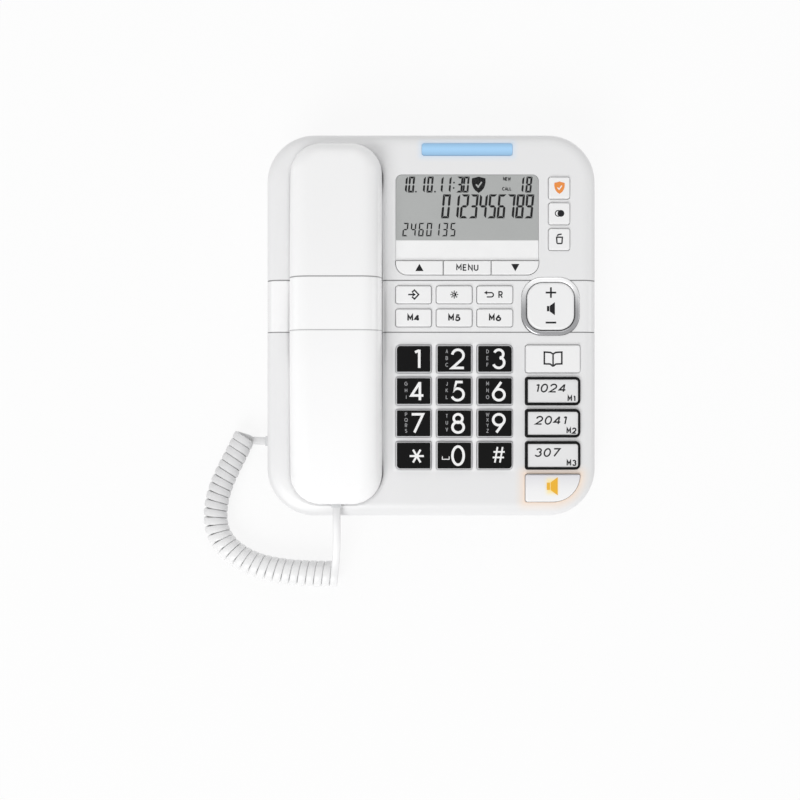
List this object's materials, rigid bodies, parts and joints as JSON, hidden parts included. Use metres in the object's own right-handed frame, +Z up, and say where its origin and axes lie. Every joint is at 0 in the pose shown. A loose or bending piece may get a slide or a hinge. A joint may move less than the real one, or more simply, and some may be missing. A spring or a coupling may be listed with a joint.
{
  "type": "corded desk telephone",
  "caption": "Wedge-shaped corded desk telephone with large keys, a tilted display and a curly-cord handset resting in a trough on the left.",
  "frame": {"origin": "middle of the base's footprint box, on the surface the feet stand on (cord not counted)", "axes": "+X to the user's right, +Y away from the user towards the rear edge, +Z up"},
  "size_m": [0.2237, 0.2604, 0.0686],
  "materials": {
    "white_shell": "smooth gloss moulded ABS",
    "lower_shell": "fine-textured moulded ABS",
    "black_key": "gloss black caps in a silver-grey rim, white numerals",
    "white_key": "satin moulded keys with grey outlines",
    "label_key": "black frame around a clear window over a blank paper label",
    "display_window": "clear acrylic, white strip under the display",
    "display_panel": "grey liquid crystal panel",
    "light_bar": "translucent sky blue light guide",
    "silver_ring": "bright plated ring",
    "soft_rubber": "matt rubber",
    "silicone": "translucent silicone sheet",
    "circuit_board": "green solder mask",
    "dark_moulding": "black moulded nylon",
    "steel": "zinc plated",
    "spring_metal": "nickel plated",
    "cell_wrap": "printed steel can, plain wrap",
    "cast_weight": "raw cast",
    "clear_plug": "clear moulded polycarbonate",
    "cord_jacket": "white flat jacket"
  },
  "bodies": {
    "base": {"base_top_cover": "white_shell", "base_bottom_cover": "lower_shell", "display_lens": "display_window", "lcd_panel": "display_panel", "alert_light_bar": "light_bar", "volume_ring": "silver_ring", "keypad_membrane": "silicone", "main_circuit_board": "circuit_board", "loudspeaker": "dark_moulding", "base_microphone": "spring_metal", "hook_switch": "dark_moulding", "line_jack": "dark_moulding", "power_jack": "dark_moulding", "base_handset_jack": "dark_moulding", "rubber_feet": "soft_rubber", "base_screws": "steel", "batteries": "cell_wrap", "battery_contacts": "spring_metal", "handset_cord": "cord_jacket", "base_cord_plug": "clear_plug"},
    "handset": {"handset_outer_shell": "white_shell", "handset_inner_shell": "white_shell", "receiver_capsule": "dark_moulding", "microphone_capsule": "spring_metal", "handset_weight": "cast_weight", "handset_jack": "dark_moulding", "handset_screws": "steel", "handset_cord_plug": "clear_plug"},
    "hook_plunger": {"hook_plunger": "white_key"},
    "battery_cover": {"battery_cover": "lower_shell"},
    "volume_rocker": {"volume_rocker": "white_key"},
    "key_1": {"key_1": "black_key"},
    "key_5": {"key_5": "black_key"},
    "key_0": {"key_0": "black_key"},
    "key_speakerphone": {"key_speakerphone": "white_key"},
    "softkey_menu": {"softkey_menu": "white_key"},
    "side_key_block": {"side_key_block": "white_key"},
    "key_m1": {"key_m1": "label_key"},
    "key_recall": {"key_recall": "white_key"},
    "key_2": {"key_2": "black_key"},
    "key_3": {"key_3": "black_key"},
    "key_4": {"key_4": "black_key"},
    "key_6": {"key_6": "black_key"},
    "key_7": {"key_7": "black_key"},
    "key_8": {"key_8": "black_key"},
    "key_9": {"key_9": "black_key"},
    "key_star": {"key_star": "black_key"},
    "key_hash": {"key_hash": "black_key"},
    "softkey_up": {"softkey_up": "white_key"},
    "softkey_down": {"softkey_down": "white_key"},
    "side_key_toggle": {"side_key_toggle": "white_key"},
    "side_key_delete": {"side_key_delete": "white_key"},
    "key_redial": {"key_redial": "white_key"},
    "key_brightness": {"key_brightness": "white_key"},
    "key_m4": {"key_m4": "white_key"},
    "key_m5": {"key_m5": "white_key"},
    "key_m6": {"key_m6": "white_key"},
    "key_phonebook": {"key_phonebook": "white_key"},
    "key_m2": {"key_m2": "label_key"},
    "key_m3": {"key_m3": "label_key"}
  },
  "joints": [
    {"name": "handset_lift", "type": "slide", "parent": "base", "child": "handset", "axis": [0, -0.1392, 0.9903], "range_m": [0, 0.08]},
    {"name": "hook_plunger_rise", "type": "slide", "parent": "base", "child": "hook_plunger", "axis": [0, -0.1392, 0.9903], "range_m": [0, 0.004]},
    {"name": "volume_rock", "type": "hinge", "parent": "base", "child": "volume_rocker", "pos_m": [0.06685, 0.00645, 0.03697], "axis": [1, 0, 0], "range_deg": [-3, 3], "stiffness_Nm_per_rad": 0.4},
    {"name": "battery_cover_slide", "type": "slide", "parent": "base", "child": "battery_cover", "axis": [0, 1, 0], "range_m": [0, 0.012]},
    {"name": "press_1", "type": "slide", "parent": "base", "child": "key_1", "axis": [0, 0.1392, -0.9903], "range_m": [0, 0.0015], "stiffness_N_per_m": 400, "springref_m": -0.001},
    {"name": "press_5", "type": "slide", "parent": "base", "child": "key_5", "axis": [0, 0.1392, -0.9903], "range_m": [0, 0.0015], "stiffness_N_per_m": 400, "springref_m": -0.001},
    {"name": "press_0", "type": "slide", "parent": "base", "child": "key_0", "axis": [0, 0.1392, -0.9903], "range_m": [0, 0.0015], "stiffness_N_per_m": 400, "springref_m": -0.001},
    {"name": "press_speakerphone", "type": "slide", "parent": "base", "child": "key_speakerphone", "axis": [0, 0.1392, -0.9903], "range_m": [0, 0.0015], "stiffness_N_per_m": 400, "springref_m": -0.001},
    {"name": "press_softkey_menu", "type": "slide", "parent": "base", "child": "softkey_menu", "axis": [0, 0.1392, -0.9903], "range_m": [0, 0.0015], "stiffness_N_per_m": 400, "springref_m": -0.001},
    {"name": "press_side_key_block", "type": "slide", "parent": "base", "child": "side_key_block", "axis": [0, 0.1392, -0.9903], "range_m": [0, 0.0015], "stiffness_N_per_m": 400, "springref_m": -0.001},
    {"name": "press_m1", "type": "slide", "parent": "base", "child": "key_m1", "axis": [0, 0.1392, -0.9903], "range_m": [0, 0.0015], "stiffness_N_per_m": 400, "springref_m": -0.001},
    {"name": "press_recall", "type": "slide", "parent": "base", "child": "key_recall", "axis": [0, 0.1392, -0.9903], "range_m": [0, 0.0015], "stiffness_N_per_m": 400, "springref_m": -0.001},
    {"name": "press_2", "type": "slide", "parent": "base", "child": "key_2", "axis": [0, 0.1392, -0.9903], "range_m": [0, 0.0015], "stiffness_N_per_m": 400, "springref_m": -0.001},
    {"name": "press_3", "type": "slide", "parent": "base", "child": "key_3", "axis": [0, 0.1392, -0.9903], "range_m": [0, 0.0015], "stiffness_N_per_m": 400, "springref_m": -0.001},
    {"name": "press_4", "type": "slide", "parent": "base", "child": "key_4", "axis": [0, 0.1392, -0.9903], "range_m": [0, 0.0015], "stiffness_N_per_m": 400, "springref_m": -0.001},
    {"name": "press_6", "type": "slide", "parent": "base", "child": "key_6", "axis": [0, 0.1392, -0.9903], "range_m": [0, 0.0015], "stiffness_N_per_m": 400, "springref_m": -0.001},
    {"name": "press_7", "type": "slide", "parent": "base", "child": "key_7", "axis": [0, 0.1392, -0.9903], "range_m": [0, 0.0015], "stiffness_N_per_m": 400, "springref_m": -0.001},
    {"name": "press_8", "type": "slide", "parent": "base", "child": "key_8", "axis": [0, 0.1392, -0.9903], "range_m": [0, 0.0015], "stiffness_N_per_m": 400, "springref_m": -0.001},
    {"name": "press_9", "type": "slide", "parent": "base", "child": "key_9", "axis": [0, 0.1392, -0.9903], "range_m": [0, 0.0015], "stiffness_N_per_m": 400, "springref_m": -0.001},
    {"name": "press_star", "type": "slide", "parent": "base", "child": "key_star", "axis": [0, 0.1392, -0.9903], "range_m": [0, 0.0015], "stiffness_N_per_m": 400, "springref_m": -0.001},
    {"name": "press_hash", "type": "slide", "parent": "base", "child": "key_hash", "axis": [0, 0.1392, -0.9903], "range_m": [0, 0.0015], "stiffness_N_per_m": 400, "springref_m": -0.001},
    {"name": "press_softkey_up", "type": "slide", "parent": "base", "child": "softkey_up", "axis": [0, 0.1392, -0.9903], "range_m": [0, 0.0015], "stiffness_N_per_m": 400, "springref_m": -0.001},
    {"name": "press_softkey_down", "type": "slide", "parent": "base", "child": "softkey_down", "axis": [0, 0.1392, -0.9903], "range_m": [0, 0.0015], "stiffness_N_per_m": 400, "springref_m": -0.001},
    {"name": "press_side_key_toggle", "type": "slide", "parent": "base", "child": "side_key_toggle", "axis": [0, 0.1392, -0.9903], "range_m": [0, 0.0015], "stiffness_N_per_m": 400, "springref_m": -0.001},
    {"name": "press_side_key_delete", "type": "slide", "parent": "base", "child": "side_key_delete", "axis": [0, 0.1392, -0.9903], "range_m": [0, 0.0015], "stiffness_N_per_m": 400, "springref_m": -0.001},
    {"name": "press_redial", "type": "slide", "parent": "base", "child": "key_redial", "axis": [0, 0.1392, -0.9903], "range_m": [0, 0.0015], "stiffness_N_per_m": 400, "springref_m": -0.001},
    {"name": "press_brightness", "type": "slide", "parent": "base", "child": "key_brightness", "axis": [0, 0.1392, -0.9903], "range_m": [0, 0.0015], "stiffness_N_per_m": 400, "springref_m": -0.001},
    {"name": "press_m4", "type": "slide", "parent": "base", "child": "key_m4", "axis": [0, 0.1392, -0.9903], "range_m": [0, 0.0015], "stiffness_N_per_m": 400, "springref_m": -0.001},
    {"name": "press_m5", "type": "slide", "parent": "base", "child": "key_m5", "axis": [0, 0.1392, -0.9903], "range_m": [0, 0.0015], "stiffness_N_per_m": 400, "springref_m": -0.001},
    {"name": "press_m6", "type": "slide", "parent": "base", "child": "key_m6", "axis": [0, 0.1392, -0.9903], "range_m": [0, 0.0015], "stiffness_N_per_m": 400, "springref_m": -0.001},
    {"name": "press_phonebook", "type": "slide", "parent": "base", "child": "key_phonebook", "axis": [0, 0.1392, -0.9903], "range_m": [0, 0.0015], "stiffness_N_per_m": 400, "springref_m": -0.001},
    {"name": "press_m2", "type": "slide", "parent": "base", "child": "key_m2", "axis": [0, 0.1392, -0.9903], "range_m": [0, 0.0015], "stiffness_N_per_m": 400, "springref_m": -0.001},
    {"name": "press_m3", "type": "slide", "parent": "base", "child": "key_m3", "axis": [0, 0.1392, -0.9903], "range_m": [0, 0.0015], "stiffness_N_per_m": 400, "springref_m": -0.001}
  ],
  "couplings": [
    {"joint": "hook_plunger_rise", "follows": "handset_lift", "ratio": 0.05}
  ]
}
